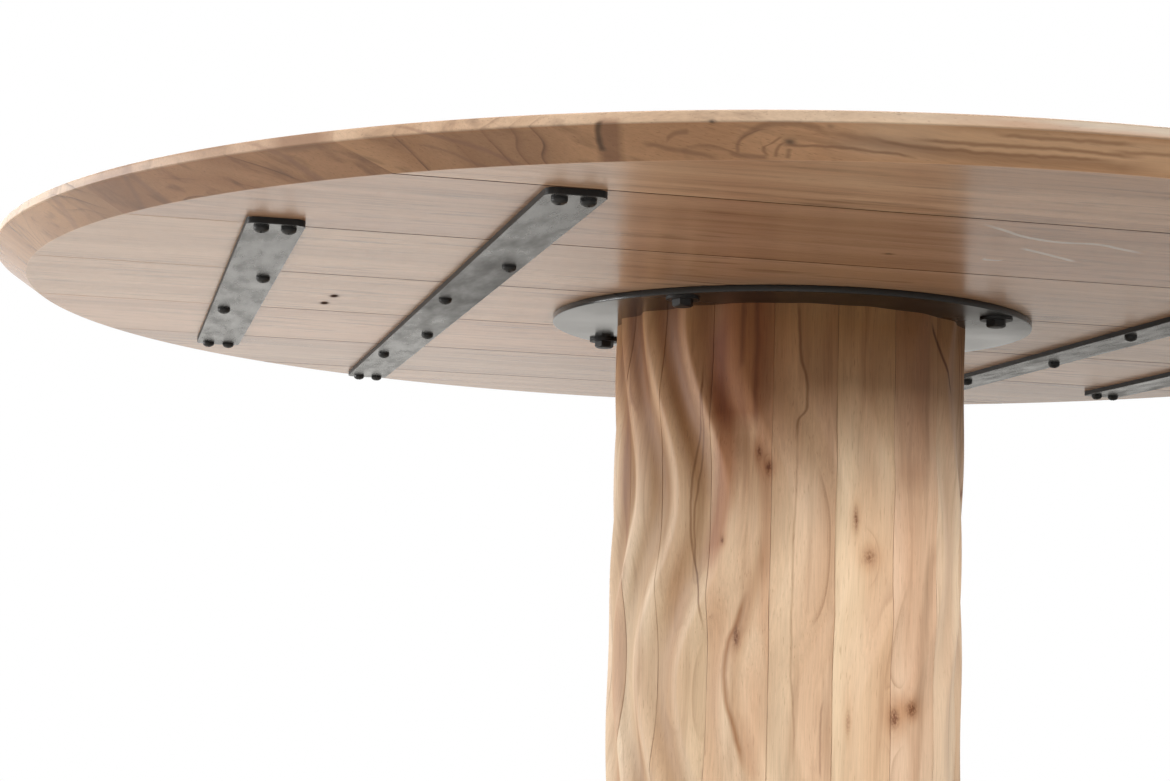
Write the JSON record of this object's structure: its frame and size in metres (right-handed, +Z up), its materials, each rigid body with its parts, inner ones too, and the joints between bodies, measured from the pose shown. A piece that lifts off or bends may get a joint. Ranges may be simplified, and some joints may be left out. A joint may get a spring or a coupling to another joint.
{
  "type": "round dining table",
  "caption": "Round dining table with a bevelled plank top, flat steel bars under it, a hollow stave column carved in swinging waves and a round steel foot plate.",
  "frame": {"origin": "centre of the foot on the floor, on the column's axis", "axes": "+Z up, +X along the top's planks, +Y along the steel bars"},
  "size_m": [1.5, 1.4998, 0.76],
  "materials": {
    "top_wood": "satin lacquer over solid planks, grain along the planks",
    "column_wood": "satin lacquer over carved staves, grain upright, knots",
    "inner_wood": "planed and glued, hidden",
    "coated_steel": "black coating, semi-gloss, slightly mottled",
    "black_hardware": "black oxide, satin",
    "zinc_hardware": "zinc plated",
    "glide": "matt"
  },
  "bodies": {
    "root": {"plank_1": "top_wood", "plank_2": "top_wood", "plank_3": "top_wood", "plank_4": "top_wood", "plank_5": "top_wood", "plank_6": "top_wood", "plank_7": "top_wood", "plank_dowels": "inner_wood", "long_bar_left": "coated_steel", "long_bar_right": "coated_steel", "short_bar_left": "coated_steel", "short_bar_right": "coated_steel", "bar_screws": "black_hardware", "mounting_plate": "coated_steel", "plate_bolts": "black_hardware", "plate_washers": "black_hardware", "threaded_inserts": "zinc_hardware", "plate_screws": "zinc_hardware", "column_top_disc": "inner_wood", "stave_1": "column_wood", "stave_2": "column_wood", "stave_3": "column_wood", "stave_4": "column_wood", "stave_5": "column_wood", "stave_6": "column_wood", "stave_7": "column_wood", "stave_8": "column_wood", "stave_9": "column_wood", "stave_10": "column_wood", "stave_11": "column_wood", "stave_12": "column_wood", "stave_13": "column_wood", "stave_14": "column_wood", "stave_15": "column_wood", "stave_16": "column_wood", "stave_17": "column_wood", "stave_18": "column_wood", "column_bottom_disc": "inner_wood", "foot_plate": "coated_steel", "foot_screws": "zinc_hardware", "floor_glides": "glide"}
  },
  "joints": []
}
